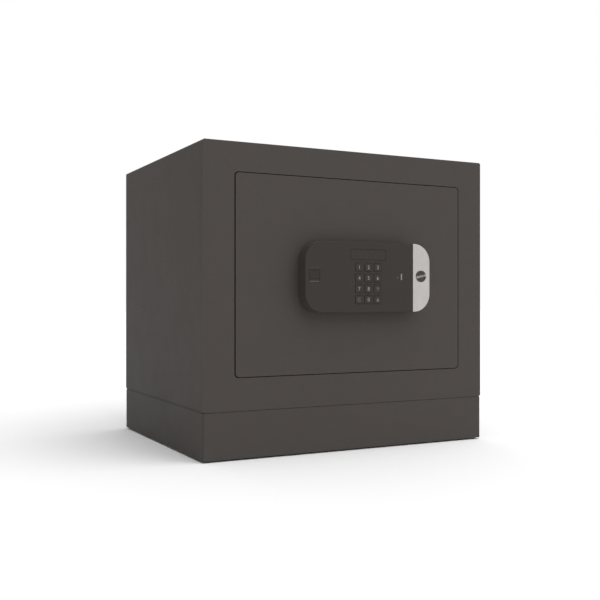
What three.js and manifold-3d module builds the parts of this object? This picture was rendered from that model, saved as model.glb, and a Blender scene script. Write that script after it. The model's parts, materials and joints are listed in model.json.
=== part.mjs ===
// Hotel in-room safe: a folded steel cabinet on a plinth, a flush door on pivot pins, a pair of
// motor-driven bolts, and a keypad panel with an emergency key lock in its metal end cap.
// Millimetres, +X to the right, +Y into the cabinet, +Z up. The origin is under the middle of the
// whole object, at floor level.
import * as THREE from "three";
import { mergeVertices } from "three/addons/utils/BufferGeometryUtils.js";
import Module from "manifold-3d";

const wasm = await Module();
wasm.setup();

// ---- Driving dimensions ----
const CLEAR = 0.3; // air between pieces that touch

// Cabinet and plinth
const WIDTH = 380;
const DEPTH = 300;
const PLINTH_HEIGHT = 55;
const SAFE_HEIGHT = 300;
const SHEET = 2;
const BEND = 2.5; // outside radius of the folds
const FOOT_HEIGHT = 1.7;

// Door opening, as margins from the safe's outer edges
const MARGIN_HINGE = 37.5;
const MARGIN_LOCK = 34.8;
const MARGIN_TOP = 33.2;
const MARGIN_BOTTOM = 36.8;
const OPENING_RADIUS = 5;
const GAP_HINGE = 1.5;
const GAP_DOOR = 0.9;
const DOOR_THICK = 5;
const PIVOT_IN = 12; // pivot axis from the door's hinge edge
const PIVOT_BACK = 8.5; // pivot axis behind the door's front face
const PIVOT_RADIUS = 3;
const STOP_LIP = 8; // how far the stops reach over the door's edge

// Keypad panel, measured from the door's front face
const PANEL_LEFT = -72.8;
const PANEL_SPLIT = 73.5; // where the metal end cap begins
const PANEL_RIGHT = 98.2;
const PANEL_LOW = 164.5;
const PANEL_HIGH = 246.5;
const PANEL_RADIUS = 22;
const PANEL_DEEP = 17;
const PANEL_WALL = 2.5;
const CAP_PROUD = 0.4;
const LOCK_PROUD = 1.4;
const KEY_PITCH = 12.7;
const KEY_PROUD = 0.4;
const KEY_TRAVEL = 1;
const KEYPAD_X = 11;
const KEYPAD_Z = 198.15;

// Bolt work
const BOLT_RADIUS = 7;
const BOLT_END = 153; // where the withdrawn bolts end
const BOLT_BACK = 19; // bolt axis behind the door's front face
const BOLT_Z = [151, 261];
const LOCK_X = 85.4;
const LOCK_Z = 207.4;
const CAM_REACH = 20;
const GEAR_MODULE = 1.25;
const PINION_TEETH = 12;
const PINION_X = 50;
const RACK_LINE = 172; // height of the rack's pitch line

// Inner cover on the door
const COVER = { x0: -118, x1: 147, z0: 103, z1: 309, back: 46.4, sheet: 1.2 };
const CHASSIS_BACK = 26.8; // front of the lock chassis

// ---- Worked-out dimensions ----
const HEIGHT = PLINTH_HEIGHT + SAFE_HEIGHT;
const PROUD = PANEL_DEEP + LOCK_PROUD;
const FRONT = (PROUD - DEPTH) / 2;
const BACK = FRONT + DEPTH;
const HALF = WIDTH / 2;
const FLOOR = PLINTH_HEIGHT + SHEET;
const OPENING = {
  x0: -HALF + MARGIN_HINGE,
  x1: HALF - MARGIN_LOCK,
  z0: PLINTH_HEIGHT + MARGIN_BOTTOM,
  z1: HEIGHT - MARGIN_TOP,
};
const DOOR = {
  x0: OPENING.x0 + GAP_HINGE,
  x1: OPENING.x1 - GAP_DOOR,
  z0: OPENING.z0 + GAP_DOOR,
  z1: OPENING.z1 - GAP_DOOR,
};
const PIVOT_X = DOOR.x0 + PIVOT_IN;
const PITCH_RADIUS = (GEAR_MODULE * PINION_TEETH) / 2;
const PINION_Z = RACK_LINE - PITCH_RADIUS;

// ---- Materials ----
const paint = (color, roughness, metalness) =>
  new THREE.MeshStandardMaterial({ color, roughness, metalness });
const MATERIALS = {
  powder: paint(0x4c4845, 0.6, 0.2),
  zinc: paint(0xb9bcbf, 0.4, 0.9),
  steel: paint(0x9a9da0, 0.3, 1),
  panel: paint(0x2b2826, 0.4, 0),
  cap: paint(0xc4c2c0, 0.3, 0.9),
  key: paint(0x33302e, 0.5, 0),
  lens: paint(0x1b1a1a, 0.1, 0),
  light: paint(0xd8d8d2, 0.3, 0),
  darkMetal: paint(0x2d2c2c, 0.35, 0.8),
  brass: paint(0xb59a58, 0.35, 0.9),
  board: paint(0x1f5a35, 0.5, 0),
  plastic: paint(0x222222, 0.6, 0),
  cell: paint(0x8a8f94, 0.35, 0.6),
  rubber: paint(0x1c1c1c, 0.9, 0),
  felt: paint(0x3a3b3e, 1, 0),
  cable: paint(0x8d8f92, 0.6, 0),
};

// ---- Solids ----
function solid(geometry) {
  const bare = geometry.index ? geometry.toNonIndexed() : geometry.clone();
  for (const name of Object.keys(bare.attributes)) {
    if (name !== "position") bare.deleteAttribute(name);
  }
  const merged = mergeVertices(bare, 1e-4);
  return new wasm.Manifold(
    new wasm.Mesh({
      numProp: 3,
      vertProperties: merged.attributes.position.array,
      triVerts: new Uint32Array(merged.index.array),
    }),
  );
}

function geometryOf(made) {
  const mesh = made.getMesh();
  const geometry = new THREE.BufferGeometry();
  geometry.setAttribute("position", new THREE.BufferAttribute(mesh.vertProperties, 3));
  geometry.setIndex(new THREE.BufferAttribute(mesh.triVerts, 1));
  const flat = geometry.toNonIndexed();
  flat.computeVertexNormals();
  return flat;
}

const join = (first, ...rest) => rest.reduce((a, b) => a.add(b), first);
const cut = (first, ...rest) => rest.reduce((a, b) => a.subtract(b), first);

function block(x0, x1, y0, y1, z0, z1) {
  const box = new THREE.BoxGeometry(x1 - x0, y1 - y0, z1 - z0);
  return solid(box.translate((x0 + x1) / 2, (y0 + y1) / 2, (z0 + z1) / 2));
}

// Outlines of plates are drawn in X and Z, as seen from the front.
function rectangle(x0, x1, z0, z1, radius = 0) {
  const shape = new THREE.Shape();
  if (!radius) {
    return shape.moveTo(x0, z0).lineTo(x1, z0).lineTo(x1, z1).lineTo(x0, z1).closePath();
  }
  const right = Math.PI / 2;
  shape.absarc(x1 - radius, z0 + radius, radius, -right, 0);
  shape.absarc(x1 - radius, z1 - radius, radius, 0, right);
  shape.absarc(x0 + radius, z1 - radius, radius, right, 2 * right);
  shape.absarc(x0 + radius, z0 + radius, radius, 2 * right, 3 * right);
  return shape.closePath();
}

// A plate standing in the XZ plane, from y0 back to y1.
function plate(shape, y0, y1, curveSegments = 5) {
  const extruded = new THREE.ExtrudeGeometry(shape, {
    depth: y1 - y0,
    bevelEnabled: false,
    curveSegments,
  });
  return solid(extruded.rotateX(Math.PI / 2).translate(0, y1, 0));
}

// A slab lying in the XY plane, from z0 up to z1.
function slab(shape, z0, z1, curveSegments = 5) {
  const extruded = new THREE.ExtrudeGeometry(shape, {
    depth: z1 - z0,
    bevelEnabled: false,
    curveSegments,
  });
  return solid(extruded.translate(0, 0, z0));
}

// A bar along X whose section is drawn in Y and Z.
function bar(shape, x0, x1, curveSegments = 5) {
  const extruded = new THREE.ExtrudeGeometry(shape, {
    depth: x1 - x0,
    bevelEnabled: false,
    curveSegments,
  });
  const toX = new THREE.Matrix4().makeBasis(
    new THREE.Vector3(0, 1, 0),
    new THREE.Vector3(0, 0, 1),
    new THREE.Vector3(1, 0, 0),
  );
  return solid(extruded.applyMatrix4(toX).translate(x0, 0, 0));
}

function rod(axis, radius, from, to, u, v, sides = 24, endRadius = radius) {
  const cylinder = new THREE.CylinderGeometry(endRadius, radius, to - from, sides);
  const middle = (from + to) / 2;
  if (axis === "x") return solid(cylinder.rotateZ(-Math.PI / 2).translate(middle, u, v));
  if (axis === "y") return solid(cylinder.translate(u, middle, v));
  return solid(cylinder.rotateX(Math.PI / 2).translate(u, v, middle));
}

function piece(name, material, made, x = 0, y = 0, z = 0) {
  const mesh = new THREE.Mesh(geometryOf(made), MATERIALS[material]);
  mesh.name = name;
  mesh.position.set(x, y, z);
  return mesh;
}

// ---- Cabinet ----
const PLINTH_BOLT_IN = 22;
const PLINTH_BOLT_HOLE = 4.6;
const PLINTH_BOLT_XY = [
  [-HALF + PLINTH_BOLT_IN, FRONT + PLINTH_BOLT_IN],
  [HALF - PLINTH_BOLT_IN, FRONT + PLINTH_BOLT_IN],
  [-HALF + PLINTH_BOLT_IN, BACK - PLINTH_BOLT_IN],
  [HALF - PLINTH_BOLT_IN, BACK - PLINTH_BOLT_IN],
];
const ANCHOR_RADIUS = 6;
const ANCHOR_X = 110;

function bodyShell() {
  const outside = rectangle(-HALF, HALF, PLINTH_HEIGHT, HEIGHT, BEND);
  const inside = rectangle(-HALF + SHEET, HALF - SHEET, FLOOR, HEIGHT - SHEET);
  const opening = rectangle(OPENING.x0, OPENING.x1, OPENING.z0, OPENING.z1, OPENING_RADIUS);
  const holes = PLINTH_BOLT_XY.map((at) =>
    rod("z", PLINTH_BOLT_HOLE, PLINTH_HEIGHT - 1, FLOOR + 1, ...at, 16),
  );
  return cut(
    plate(outside, FRONT, BACK),
    plate(inside, FRONT + SHEET, BACK + 1),
    plate(opening, FRONT - 1, FRONT + SHEET + 1, 6),
    ...holes,
  );
}

function backPlate() {
  const edge = SHEET + CLEAR;
  const sheet = rectangle(-HALF + edge, HALF - edge, FLOOR + CLEAR, HEIGHT - edge);
  const middle = (PLINTH_HEIGHT + HEIGHT) / 2;
  const holes = [-ANCHOR_X, ANCHOR_X].map((x) =>
    rod("y", ANCHOR_RADIUS, BACK - SHEET - 1, BACK + 1, x, middle),
  );
  return cut(plate(sheet, BACK - SHEET, BACK), ...holes);
}

// A jamb strip along the top or bottom of the opening: it holds a pivot pin and stops the door.
// The stop lip leaves out the hinge end, where the door's edge swings inwards.
const JAMB_THICK = 2.5;
const JAMB_DEEP = 24;
const JAMB_IN = 5;
const STOP_START = -112;
const STOP_THICK = 2;
const STOP_BACK = DOOR_THICK + 0.8;

function jamb(edge, outward) {
  const [low, high] = [edge, edge + outward * JAMB_THICK].sort((a, b) => a - b);
  const [lipLow, lipHigh] = [edge - outward * STOP_LIP, edge + outward].sort((a, b) => a - b);
  const y = FRONT + SHEET + CLEAR;
  const stop = FRONT + STOP_BACK;
  const end = OPENING.x1 - JAMB_IN;
  return cut(
    join(
      block(OPENING.x0 + JAMB_IN, end, y, FRONT + JAMB_DEEP, low, high),
      block(STOP_START, end, stop, stop + STOP_THICK, lipLow, lipHigh),
    ),
    rod("z", PIVOT_RADIUS + CLEAR, low - 1, high + 1, PIVOT_X, FRONT + PIVOT_BACK),
  );
}

// The plate behind the lock edge of the opening, with a square slot for each bolt.
const STRIKE = { thick: 3, deep: 36, in: 6, slack: 2 };

function strikePlate() {
  const x0 = OPENING.x1 + CLEAR;
  const x1 = x0 + STRIKE.thick;
  const [z0, z1] = [OPENING.z0 + STRIKE.in, OPENING.z1 - STRIKE.in];
  const slot = BOLT_RADIUS + STRIKE.slack;
  const y = FRONT + BOLT_BACK;
  return cut(
    block(x0, x1, FRONT + SHEET + CLEAR, FRONT + STRIKE.deep, z0, z1),
    ...BOLT_Z.map((z) => block(x0 - 1, x1 + 1, y - slot, y + slot, z - slot, z + slot)),
  );
}

// The mat lies between the front and the rear pair of bolts.
const MAT = { side: 4, end: 36, radius: 6, thick: 2.7 };

function floorMat() {
  const [x, y0, y1] = [HALF - MAT.side, FRONT + MAT.end, BACK - MAT.end];
  const z0 = FLOOR + CLEAR;
  return slab(rectangle(-x, x, y0, y1, MAT.radius), z0, z0 + MAT.thick);
}

// The plinth is a folded ring. Its top flange stands in from the walls, which leaves the shadow
// line under the safe, and carries a closed weld nut for each bolt.
const SHADOW_GAP = 0.7;
const TOP_FLANGE = 40;
const BOTTOM_FLANGE = 22;
const PLINTH_FOOT = FOOT_HEIGHT + CLEAR;
const PLINTH_ANCHOR_IN = 12;
const PLINTH_ANCHOR_RADIUS = 5;
const M8 = { radius: 4, hex: 7.5, head: 6, nut: 9.5, washer: 8.5, washerThick: 1.6, reach: 12 };

function plinth() {
  const ring = (inset, radius) =>
    rectangle(-HALF + inset, HALF - inset, FRONT + inset, BACK - inset, radius);
  const wallTop = PLINTH_HEIGHT - SHADOW_GAP;
  const flangeTop = PLINTH_HEIGHT - CLEAR;
  const walls = cut(
    slab(ring(0, BEND), PLINTH_FOOT, wallTop),
    slab(ring(SHEET), PLINTH_FOOT - 1, wallTop + 1),
  );
  const top = cut(
    slab(ring(1.5, 1.5), flangeTop - SHEET, flangeTop),
    slab(ring(TOP_FLANGE), flangeTop - SHEET - 1, flangeTop + 1),
  );
  const bottom = cut(
    slab(ring(1, 1.5), PLINTH_FOOT, PLINTH_FOOT + SHEET),
    slab(ring(BOTTOM_FLANGE), PLINTH_FOOT - 1, PLINTH_FOOT + SHEET + 1),
  );
  const nutLow = flangeTop - SHEET - M8.nut;
  const nuts = PLINTH_BOLT_XY.map((at) => rod("z", M8.hex, nutLow, flangeTop - 1, ...at, 6));
  const threads = PLINTH_BOLT_XY.map((at) =>
    rod("z", M8.radius + CLEAR, nutLow + 1, PLINTH_HEIGHT, ...at, 16),
  );
  const anchors = [FRONT + PLINTH_ANCHOR_IN, BACK - PLINTH_ANCHOR_IN].flatMap((y) =>
    [-ANCHOR_X, ANCHOR_X].map((x) =>
      rod("z", PLINTH_ANCHOR_RADIUS, 0, PLINTH_FOOT + SHEET + 1, x, y, 16),
    ),
  );
  return cut(join(walls, top, bottom, ...nuts), ...threads, ...anchors);
}

function plinthBolt() {
  const washer = rod("z", M8.washer, CLEAR, CLEAR + M8.washerThick, 0, 0);
  const head = rod("z", M8.hex, CLEAR + 1, CLEAR + 1 + M8.head, 0, 0, 6);
  const shank = rod("z", M8.radius, -M8.reach, CLEAR + 1, 0, 0, 16);
  return join(washer, head, shank);
}

const FOOT = { half: 8, in: 12, radius: 4 };

function footStrip() {
  const outline = rectangle(-FOOT.half, FOOT.half, FRONT + FOOT.in, BACK - FOOT.in, FOOT.radius);
  return slab(outline, 0, FOOT_HEIGHT);
}

function cabinetGroup() {
  const group = new THREE.Group();
  group.add(
    piece("body_shell", "powder", bodyShell()),
    piece("back_plate", "powder", backPlate()),
    piece("top_jamb", "powder", jamb(OPENING.z1, 1)),
    piece("bottom_jamb", "powder", jamb(OPENING.z0, -1)),
    piece("strike_plate", "zinc", strikePlate()),
    piece("floor_mat", "felt", floorMat()),
    piece("plinth", "powder", plinth()),
    piece("foot_strip_left", "rubber", footStrip(), -HALF + FOOT.in),
    piece("foot_strip_right", "rubber", footStrip(), HALF - FOOT.in),
  );
  PLINTH_BOLT_XY.forEach(([x, y], i) => {
    group.add(piece(`plinth_bolt_${i + 1}`, "zinc", plinthBolt(), x, y, FLOOR));
  });
  return group;
}

// ---- Door: y is measured from the door's front face ----
const HINGE_BLOCK = { wide: 14.6, high: 26, back: 14, in: 1.5 };
const POST_RADIUS = 4.5;
const CHASSIS_POSTS = [
  [0, 133],
  [0, 279],
  [128, 133],
  [128, 279],
];
const COVER_POSTS = [
  [-108, 113],
  [-108, 299],
  [137, 113],
  [137, 299],
];
const COVER_FACE = COVER.back - COVER.sheet; // the cover's inside face
const RIBBON = { x0: -36, x1: -24, z: 196, slotHalf: 8, slack: 2 };
const RAISE = 0.5; // how deep welded pieces reach into each other
const PIN_DEPTH = 20;
const SCREW = { radius: 1.5, hole: 1.8, head: 3.4, reach: 10 };

function doorPlate() {
  const weld = DOOR_THICK - RAISE;
  const behind = DOOR_THICK + 1;
  const sheet = rectangle(DOOR.x0, DOOR.x1, DOOR.z0, DOOR.z1, OPENING_RADIUS - GAP_DOOR);
  const { wide, high, back } = HINGE_BLOCK;
  const blockX = PIVOT_X - wide / 2;
  const blockZ = [DOOR.z0 + HINGE_BLOCK.in, DOOR.z1 - HINGE_BLOCK.in - high];
  const hingeBlocks = blockZ.map((z) => block(blockX, blockX + wide, weld, back, z, z + high));
  const posts = [
    ...CHASSIS_POSTS.map((at) => rod("y", POST_RADIUS, weld, CHASSIS_BACK - CLEAR, ...at, 16)),
    ...COVER_POSTS.map((at) => rod("y", POST_RADIUS, weld, COVER_FACE - CLEAR, ...at, 16)),
  ];
  const pinHoles = [
    [DOOR.z0 - 1, DOOR.z0 + PIN_DEPTH + 1],
    [DOOR.z1 - PIN_DEPTH - 1, DOOR.z1 + 1],
  ].map(([low, high]) => rod("z", PIVOT_RADIUS + CLEAR, low, high, PIVOT_X, PIVOT_BACK));
  const screwHoles = COVER_POSTS.map((at) =>
    rod("y", SCREW.hole, COVER_FACE - SCREW.reach - 2, COVER_FACE, ...at, 12),
  );
  const lockHole = rod("y", BARREL_HOLE, -1, behind, LOCK_X, LOCK_Z);
  const { x0, x1, z, slotHalf, slack } = RIBBON;
  const ribbonSlot = block(x0 - slack, x1 + slack, -1, behind, z - slotHalf, z + slotHalf);
  return cut(
    join(plate(sheet, 0, DOOR_THICK, 6), ...hingeBlocks, ...posts),
    ...pinHoles,
    ...screwHoles,
    lockHole,
    ribbonSlot,
  );
}

const PIN_OUT = JAMB_THICK + 4;

function hingePin(z0, z1) {
  return rod("z", PIVOT_RADIUS, z0, z1, PIVOT_X, PIVOT_BACK);
}

// Slots in the carriage run on two pins of the chassis. The chassis is a plate behind the bolts
// with a flange that guides them.
const GUIDE = { x: 111.5, z: [165, 247], radius: 2.5, front: 16 };
const BOLT_TRAVEL = 13;
const CHASSIS = { x0: -12, x1: 142, z0: 122, z1: 290, sheet: 1.5, flangeFront: 6, flangeIn: 4 };
const CHASSIS_HOLES = { bolt: BOLT_RADIUS + 0.4, shaft: 4, lock: 5 };

function lockChassis() {
  const back = CHASSIS_BACK;
  const behind = back + CHASSIS.sheet + 1;
  const { x0, x1, z0, z1, sheet, flangeFront, flangeIn } = CHASSIS;
  const pins = GUIDE.z.map((z) => rod("y", GUIDE.radius, GUIDE.front, back + 1, GUIDE.x, z, 16));
  return cut(
    join(
      plate(rectangle(x0, x1, z0, z1, 3), back, back + sheet),
      block(x1 - sheet, x1, flangeFront, back + 1, z0 + flangeIn, z1 - flangeIn),
      ...pins,
    ),
    ...BOLT_Z.map((z) => rod("x", CHASSIS_HOLES.bolt, x1 - 3, x1 + 2, BOLT_BACK, z)),
    rod("y", CHASSIS_HOLES.shaft, back - 1, behind, PINION_X, PINION_Z),
    rod("y", CHASSIS_HOLES.lock, back - 1, behind, LOCK_X, LOCK_Z),
  );
}

// A gearbox with the motor's can on its left end and the drive shaft towards the door. Two solder
// tabs stand out of the can's end.
const GEARBOX = { x0: 28, x1: 72, z0: 153, z1: 176, corner: 3 };
const MOTOR_CAN = { x0: -2, radius: 8.2, boss: 3, bossOut: 2 };
const TAB = { at: 4.5, out: 3.5, half: 1, thin: 0.4 };

function gearmotor() {
  const [front, back] = [CHASSIS_BACK + CHASSIS.sheet + CLEAR, COVER_FACE - 2 * CLEAR];
  const middle = (front + back) / 2;
  const { x0, x1, z0, z1, corner } = GEARBOX;
  const { x0: end, radius, boss, bossOut } = MOTOR_CAN;
  const { out, half, thin } = TAB;
  const tabs = [PINION_Z - TAB.at, PINION_Z + TAB.at].map((z) =>
    block(end - out, end + 1, middle - thin, middle + thin, z - half, z + half),
  );
  return join(
    plate(rectangle(x0, x1, z0, z1, corner), front, back),
    rod("x", radius, end, x0 + 1, middle, PINION_Z, 20),
    rod("x", boss, end - bossOut, end + 1, middle, PINION_Z, 12),
    rod("y", SHAFT_RADIUS, BOLT_BACK - PINION_HALF - CLEAR, front + 1, PINION_X, PINION_Z, 16),
    ...tabs,
  );
}

// Battery tray: four cells side by side, open to the inside of the cabinet.
const CELL = { radius: 7.1, length: 50, pitch: 15, x: -69, z: 206, back: 35.9 };
const CELL_X = [-1.5, -0.5, 0.5, 1.5].map((n) => CELL.x + n * CELL.pitch);
const TRAY = { wall: 1.5, legHalf: 3, end: 3 };

function batteryTray() {
  const { wall, legHalf, end } = TRAY;
  const [halfX, halfZ] = [2 * CELL.pitch + wall, CELL.length / 2 + end];
  const [x0, x1, z0, z1] = [CELL.x - halfX, CELL.x + halfX, CELL.z - halfZ, CELL.z + halfZ];
  const floor = CELL.back - CELL.radius - CLEAR;
  const body = cut(
    block(x0, x1, floor - wall, CELL.back + 1, z0, z1),
    block(x0 + wall, x1 - wall, floor, CELL.back + 2, z0 + wall, z1 - wall),
  );
  const legFront = DOOR_THICK + CLEAR;
  const legs = [x0, x1 - 2 * legHalf].flatMap((x) =>
    [z0, z1 - 2 * legHalf].map((z) =>
      block(x, x + 2 * legHalf, legFront, floor - 1, z, z + 2 * legHalf),
    ),
  );
  return join(body, ...legs);
}

// A round cell with its raised contact at the upper end and its flat one at the lower end.
const CONTACT = { upper: 2.6, lower: 4.5, out: 0.6, recess: 0.8, foot: 0.5 };

function batteryCell() {
  const half = CELL.length / 2;
  const { upper, lower, out, recess, foot } = CONTACT;
  return join(
    rod("z", CELL.radius, -half + foot, half - recess, 0, 0, 20),
    rod("z", upper, half - recess - 0.5, half + out, 0, 0, 12),
    rod("z", lower, -half, -half + foot + 0.5, 0, 0, 12),
  );
}

// The board stands on four legs and carries two chips, two sockets, a capacitor and a crystal.
const BOARD = { x0: -104, x1: -24, z0: 116, z1: 166, front: 28, back: 29.6 };
const SINK = 0.2; // how deep parts sit in a board

function controlBoard() {
  const { x0, x1, z0, z1, front, back } = BOARD;
  const chip = (x, z, wide, high, deep) => {
    const [w, h] = [wide / 2, high / 2];
    return block(x - w, x + w, back - SINK, back + deep, z - h, z + h);
  };
  const legs = [x0 + 6, x1 - 22].flatMap((x) =>
    [z0 + 5, z1 - 5].map((z) => rod("y", 2.5, DOOR_THICK + CLEAR, front + 0.5, x, z, 12)),
  );
  return join(
    block(x0, x1, front, back, z0, z1),
    chip(-70, 144, 14, 14, 1.6),
    chip(-46, 134, 8, 10, 2),
    chip(-90, 128, 10, 6, 8),
    chip(-34, 158, 14, 6, 6),
    rod("y", 4, back - SINK, back + 11, -88, 150, 16),
    rod("y", 3, back - SINK, back + 3, -58, 124, 16),
    ...legs,
  );
}

// Flat ribbon between the keypad board and the control board, drawn in Y and Z.
const RIBBON_STEPS = 14;

function ribbonCable() {
  const half = 0.4;
  const end = BOARD.front - 2 * half;
  const line = new THREE.CubicBezierCurve(
    new THREE.Vector2(BOARD_BACK + CLEAR, RIBBON.z),
    new THREE.Vector2(24, RIBBON.z),
    new THREE.Vector2(end, RIBBON.z - 6),
    new THREE.Vector2(end, BOARD.z1 - 8),
  );
  const sides = [-half, half].map((offset) =>
    Array.from({ length: RIBBON_STEPS + 1 }, (_, i) => {
      const t = line.getTangent(i / RIBBON_STEPS);
      const across = new THREE.Vector2(t.y, -t.x).multiplyScalar(offset);
      return line.getPoint(i / RIBBON_STEPS).add(across);
    }),
  );
  return bar(new THREE.Shape([...sides[1], ...sides[0].reverse()]), RIBBON.x0, RIBBON.x1);
}

// Sliding hatch over the batteries, in two rails on the cover's inside face.
const HATCH = { x0: -103, x1: -35, z0: 173, z1: 239.6, front: COVER.back + CLEAR, thick: 1.8 };
const RAIL = { x0: -105, x1: 30, leg: 1.4, over: 2.6, thick: 1.2 };
const HATCH_SILL = 3;
const GRIP = { first: 8, step: 4, wide: 2, ribs: 5, z0: 190, z1: 222 };

function innerCover() {
  const { x0, x1, z0, z1, back, sheet } = COVER;
  const front = DOOR_THICK + CLEAR;
  const shell = cut(
    plate(rectangle(x0, x1, z0, z1, 3), front, back),
    plate(rectangle(x0 + sheet, x1 - sheet, z0 + sheet, z1 - sheet, 1.8), front - 1, back - sheet),
  );
  const railTop = HATCH.front + HATCH.thick + CLEAR;
  const rails = [
    [HATCH.z1 + CLEAR, 1],
    [HATCH.z0 - CLEAR, -1],
  ].flatMap(([z, outward]) => {
    const [a, b] = [z, z + outward * RAIL.leg].sort((p, q) => p - q);
    const [c, d] = [z - outward * RAIL.over, z + outward * RAIL.leg].sort((p, q) => p - q);
    return [
      block(RAIL.x0, RAIL.x1, back - RAISE, railTop + 0.2, a, b),
      block(RAIL.x0, RAIL.x1, railTop, railTop + RAIL.thick, c, d),
    ];
  });
  const [hx0, hx1] = [HATCH.x0 + HATCH_SILL, HATCH.x1 - HATCH_SILL];
  const [hz0, hz1] = [HATCH.z0 + HATCH_SILL, HATCH.z1 - HATCH_SILL];
  const batteryHole = block(hx0, hx1, back - 3, back + 1, hz0, hz1);
  const boltHoles = BOLT_Z.map((z) => rod("x", BOLT_RADIUS + 1, x1 - 3, x1 + 1, BOLT_BACK, z));
  const screwHoles = COVER_POSTS.map((at) => rod("y", SCREW.hole, back - 3, back + 1, ...at, 12));
  return cut(join(shell, ...rails), batteryHole, ...boltHoles, ...screwHoles);
}

function coverScrew() {
  const [top, topRadius, slotFloor, slotHalf, slotWide] = [2.4, 2.6, 1.2, 1.8, 0.4];
  const head = rod("y", SCREW.head, CLEAR, top, 0, 0, 20, topRadius);
  const shank = rod("y", SCREW.radius, -SCREW.reach, CLEAR + 0.5, 0, 0, 12);
  return cut(
    join(head, shank),
    block(-slotHalf, slotHalf, slotFloor, top + 1, -slotWide, slotWide),
    block(-slotWide, slotWide, slotFloor, top + 1, -slotHalf, slotHalf),
  );
}

function batteryHatch() {
  const { x0, x1, z0, z1, front, thick } = HATCH;
  const back = front + thick;
  const ribs = Array.from({ length: GRIP.ribs }, (_, n) => {
    const x = x0 + GRIP.first + n * GRIP.step;
    return block(x, x + GRIP.wide, back - RAISE, back + 1, GRIP.z0, GRIP.z1);
  });
  return join(plate(rectangle(x0, x1, z0, z1, 2), front, back), ...ribs);
}

// ---- Bolt work ----
// Rack teeth hang below the rack arm; the pinion stands under them with one tooth straight up.
const BACKLASH = 0.1; // taken off each flank at the pitch line
const RACK_ADDENDUM = 0.85;
const RACK_DEDENDUM = 1.45;
const RACK_TEETH = 9;
const RACK_BEFORE = 5.5; // teeth to the left of the pinion's axis
const RACK_DEEP = 11;
const PRESSURE_ANGLE = (20 * Math.PI) / 180;
const TOOTH_PITCH = Math.PI * GEAR_MODULE;
const SHAFT_RADIUS = 2.5;
const PINION_HALF = 2.6;
const CARRIAGE = {
  front: BOLT_BACK - 1.5,
  back: BOLT_BACK + 1.5,
  x0: 92,
  x1: 118,
  z0: 139,
  z1: 273,
};

function rackTooth(x) {
  const tan = Math.tan(PRESSURE_ANGLE);
  const atPitch = TOOTH_PITCH / 4 - BACKLASH;
  const tip = atPitch - RACK_ADDENDUM * tan;
  const root = atPitch + (RACK_DEDENDUM + RAISE) * tan;
  const [low, high] = [RACK_LINE - RACK_ADDENDUM, RACK_LINE + RACK_DEDENDUM + RAISE];
  const shape = new THREE.Shape()
    .moveTo(x - tip, low)
    .lineTo(x + tip, low)
    .lineTo(x + root, high)
    .lineTo(x - root, high)
    .closePath();
  return plate(shape, CARRIAGE.front, CARRIAGE.back);
}

// The carriage joins both bolts. Its arm is the rack, and the lock's cam works in its window.
const CAM_WINDOW = {
  x0: LOCK_X - CAM_REACH - CLEAR,
  x1: LOCK_X + 8,
  z0: LOCK_Z - 8,
  z1: LOCK_Z + CAM_REACH + 1.5,
};
const WINDOW_RIM = 5.6;

function boltCarriage() {
  const { front, back, x0, x1, z0, z1 } = CARRIAGE;
  const teeth = Array.from({ length: RACK_TEETH }, (_, i) =>
    rackTooth(PINION_X + (i - RACK_BEFORE) * TOOTH_PITCH),
  );
  const armLow = RACK_LINE + RACK_DEDENDUM;
  const rim = [CAM_WINDOW.x0 - WINDOW_RIM, CAM_WINDOW.z0 - WINDOW_RIM, CAM_WINDOW.z1 + WINDOW_RIM];
  const slots = GUIDE.z.map((z) => {
    const r = GUIDE.radius + CLEAR;
    const slot = rectangle(GUIDE.x - BOLT_TRAVEL - r, GUIDE.x + r, z - r, z + r, r - 0.05);
    return plate(slot, front - 1, back + 1);
  });
  const { x0: wx0, x1: wx1, z0: wz0, z1: wz1 } = CAM_WINDOW;
  return cut(
    join(
      plate(rectangle(x0, x1, z0, z1, 2), front, back),
      plate(rectangle(rim[0], x0 + 1, rim[1], rim[2]), front, back),
      block(PINION_X - 6 * TOOTH_PITCH, x0 + 3, front, back, armLow, armLow + RACK_DEEP),
      ...teeth,
    ),
    block(wx0, wx1, front - 1, back + 1, wz0, wz1),
    ...slots,
  );
}

const BOLT_TIP = 2;
const BOLT_GRIP = 14; // the length of the slot in the bolt that takes the carriage

function bolt() {
  const inner = CARRIAGE.x1 - BOLT_GRIP;
  const shoulder = BOLT_END - BOLT_TIP;
  const slot = (CARRIAGE.back - CARRIAGE.front) / 2 + CLEAR;
  const across = BOLT_RADIUS + 1;
  return cut(
    join(
      rod("x", BOLT_RADIUS, inner, shoulder, 0, 0, 32),
      rod("x", BOLT_RADIUS, shoulder, BOLT_END, 0, 0, 32, BOLT_RADIUS - 1.5),
    ),
    block(inner - 1, CARRIAGE.x1 + CLEAR, -slot, slot, -across, across),
  );
}

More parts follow.
